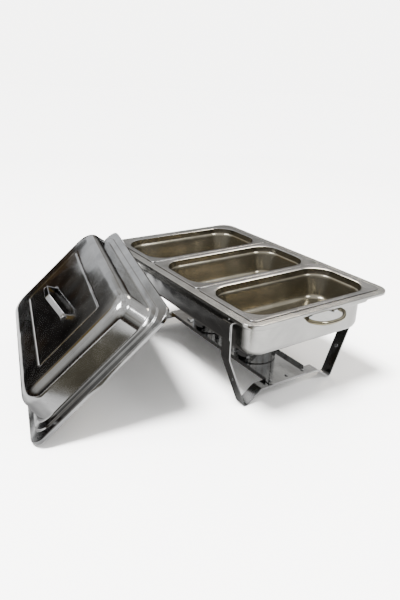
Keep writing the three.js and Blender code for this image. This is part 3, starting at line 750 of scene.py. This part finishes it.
def makeMirrorFloor(look):
    # what the steel sees of the floor: a glowing disc with a painted shadow, dark round the object where it
    # stands in its own shade, and painted bright floor further out
    bpy.ops.object.select_all(action="DESELECT")
    bpy.ops.mesh.primitive_circle_add(vertices=64, radius=look["mirrorFloor"], fill_type="NGON",
                                      location=(0, 0, look["mirrorLevel"]))
    floor = bpy.context.object
    floor.name = "steelFloor"
    bpy.ops.object.transform_apply(location=True, rotation=True, scale=True)
    paint = bpy.data.materials.new("painted_shadow_floor_reflection")
    paint.use_nodes = True
    tree = paint.node_tree
    tree.nodes.clear()
    where = addNode(tree, "ShaderNodeTexCoord").outputs["Object"]
    middle = (*look["shade"], look["mirrorLevel"])
    far = addNode(tree, "ShaderNodeVectorMath", {0: where, 1: middle}, operation="DISTANCE").outputs["Value"]
    # noise that breaks up the edge of the painted shadow
    shadeBreakup = addNode(tree, "ShaderNodeTexNoise", {
        "Vector": where, "Scale": look["shadeBreakupPerMetre"], "Detail": 2.0})
    uneven = addNode(tree, "ShaderNodeMath", {
        0: shadeBreakup.outputs["Fac"], 1: look["shadeBreakupReach"], 2: far}, operation="MULTIPLY_ADD")
    light = addNode(tree, "ShaderNodeMapRange", {
        "Value": uneven.outputs["Value"], "From Min": look["shadeReach"],
        "From Max": look["shadeReach"] + look["shadeEdge"], "To Min": 0.0, "To Max": 1.0},
        interpolation_type="SMOOTHSTEP")
    tint = addNode(tree, "ShaderNodeMix", {
        "Factor": light.outputs["Result"], "A": colour(look["shadeTint"]), "B": colour(look["brightTint"])},
        data_type="RGBA")
    glow = addNode(tree, "ShaderNodeEmission", {
        "Color": tint.outputs["Result"], "Strength": look["mirrorGlow"]})
    addNode(tree, "ShaderNodeOutputMaterial", {"Surface": glow.outputs["Emission"]})
    floor.data.materials.append(paint)
    floor.visible_camera = False
    floor.visible_diffuse = False
    floor.visible_shadow = False


def addSun(name, towards, strength, spread, tint="ffffff"):
    bpy.ops.object.light_add(type="SUN", location=(0, 0, 3))
    sun = bpy.context.object
    sun.name = name
    sun.data.energy = strength
    sun.data.angle = math.radians(spread)
    sun.data.color = colour(tint)[:3]
    sun.visible_glossy = False
    sun.rotation_euler = Vector(towards).to_track_quat("Z", "Y").to_euler()


def addLamp(name, place, aim, size, power, tint="ffffff"):
    bpy.ops.object.light_add(type="AREA", location=place)
    lamp = bpy.context.object
    lamp.name = name
    lamp.data.shape = "RECTANGLE"
    lamp.data.size, lamp.data.size_y = size
    lamp.data.energy = power
    lamp.data.color = colour(tint)[:3]
    lamp.rotation_euler = (Vector(aim) - Vector(place)).to_track_quat("-Z", "Y").to_euler()
    return lamp


def addCard(name, place, aim, size, tint, glow=0.0):
    # a card that only the polished steel sees
    bpy.ops.object.select_all(action="DESELECT")
    bpy.ops.mesh.primitive_plane_add(size=1, location=place)
    card = bpy.context.object
    card.name = name
    card.rotation_euler = (Vector(aim) - Vector(place)).to_track_quat("Z", "Y").to_euler()
    card.scale = (size[0], size[1], 1)
    paint = bpy.data.materials.new(name)
    paint.use_nodes = True
    shader = paint.node_tree.nodes["Principled BSDF"]
    shader.inputs["Base Color"].default_value = (0, 0, 0, 1)
    shader.inputs["Roughness"].default_value = 1.0
    shader.inputs["Specular IOR Level"].default_value = 0.0
    shader.inputs["Emission Color"].default_value = colour(tint)
    shader.inputs["Emission Strength"].default_value = glow
    card.data.materials.append(paint)
    card.visible_camera = False
    card.visible_diffuse = False
    card.visible_shadow = False
    return card


def makeRoom(look):
    # the dark room round the light table: only the steel sees it
    bpy.ops.object.select_all(action="DESELECT")
    bpy.ops.mesh.primitive_cylinder_add(vertices=96, radius=look["radius"], depth=look["height"],
                                        location=(0, 0, look["height"] / 2 - 0.002))
    room = bpy.context.object
    room.name = "studioRoom"
    bpy.ops.object.transform_apply(location=True, rotation=True, scale=True)
    paint = bpy.data.materials.new("room_walls")
    paint.use_nodes = True
    tree = paint.node_tree
    tree.nodes.clear()
    where = addNode(tree, "ShaderNodeTexCoord").outputs["Object"]
    height = addNode(tree, "ShaderNodeSeparateXYZ", {"Vector": where}).outputs["Z"]
    ramp = addNode(tree, "ShaderNodeValToRGB", {"Fac": addNode(tree, "ShaderNodeMath", {
        0: height, 1: look["height"]}, operation="DIVIDE").outputs["Value"]})
    stops = ramp.color_ramp.elements
    stops[0].position, stops[0].color = look["bands"][0][0], colour(look["bands"][0][1])
    stops[1].position, stops[1].color = look["bands"][-1][0], colour(look["bands"][-1][1])
    for position, tint in look["bands"][1:-1]:
        stops.new(position).color = colour(tint)
    patchPlace = addNode(tree, "ShaderNodeMapping", {"Vector": where, "Scale": look["patchPerMetre"]})
    patch = addNode(tree, "ShaderNodeTexNoise", {
        "Vector": patchPlace.outputs["Vector"], "Scale": 1.0, "Detail": 2.0, "Roughness": 0.5})
    patchy = addNode(tree, "ShaderNodeMapRange", {
        "Value": patch.outputs["Fac"], "From Min": look["patchFrom"], "From Max": look["patchTo"],
        "To Min": 0.0, "To Max": look["patch"]})
    walls = addNode(tree, "ShaderNodeMix", {
        "Factor": patchy.outputs["Result"], "A": ramp.outputs["Color"], "B": colour(look["patchTint"])},
        data_type="RGBA")
    glow = addNode(tree, "ShaderNodeEmission", {"Color": walls.outputs["Result"], "Strength": look["glow"]})
    addNode(tree, "ShaderNodeOutputMaterial", {"Surface": glow.outputs["Emission"]})
    room.data.materials.append(paint)
    room.visible_camera = False
    room.visible_diffuse = False
    room.visible_shadow = False


room = {
    "radius": 3.2, "height": 3.0, "glow": 1.6, "patch": 0.5, "patchTint": "5a4630",
    "patchPerMetre": (2.2, 2.2, 1.1), "patchFrom": 0.5, "patchTo": 0.62,
    "bands": [
        (0.0, "0c0c0d"), (0.17, "161514"), (0.25, "5c5b59"), (0.36, "a2a2a0"), (0.6, "c8c8c6"),
        (0.98, "eeeeee"),
    ],      # from the floor to the ceiling, each at its share of the height
}

# the sun stands over the front and leaves the soft shadow behind the pan
sun = {"towards": (0.06, -0.34, 0.94), "strength": 20.0, "spread": 16}
lamps = {
    "keyLamp": {"place": (-0.3, -0.9, 2.2), "aim": (0, 0, 0.1), "size": (0.9, 0.6), "power": 60},
    "fillLamp": {"place": (1.3, 0.9, 1.8), "aim": (0, 0.1, 0.1), "size": (0.5, 0.5), "power": 18},
    "backLamp": {"place": (-0.9, 1.4, 1.7), "aim": (0, 0.1, 0.1), "size": (0.5, 0.5), "power": 18,
                 "tint": "fff1dc"},
}
# a warm streak for the lid's side, a pale sky for its upper half, a grey floor for its near end
cards = {
    "warmCard": {"place": (-1.6, -1.15, 0.85), "aim": (-0.1, -0.25, 0.15), "size": (0.9, 0.45),
                 "tint": "8a7340", "glow": 1.2},
    "lidSky": {"place": (-3.0, 0.36, 1.03), "aim": (0, 0.3, 1.0), "size": (1.5, 0.95),
               "tint": "eef0f3", "glow": 1.3},
    "lidShade": {"place": (0.78, -0.8, -0.0005), "aim": (0.78, -0.8, 1.0), "size": (0.8, 1.1),
                 "tint": "6b6658", "glow": 1.2},
}

makeStudio(studio)
makeBackdrop(studio)
makeMirrorFloor(studio)
makeRoom(room)
addSun("softSun", **sun)
for name, settings in lamps.items():
    addLamp(name, **settings)
for name, settings in cards.items():
    addCard(name, **settings)
print("studio made")
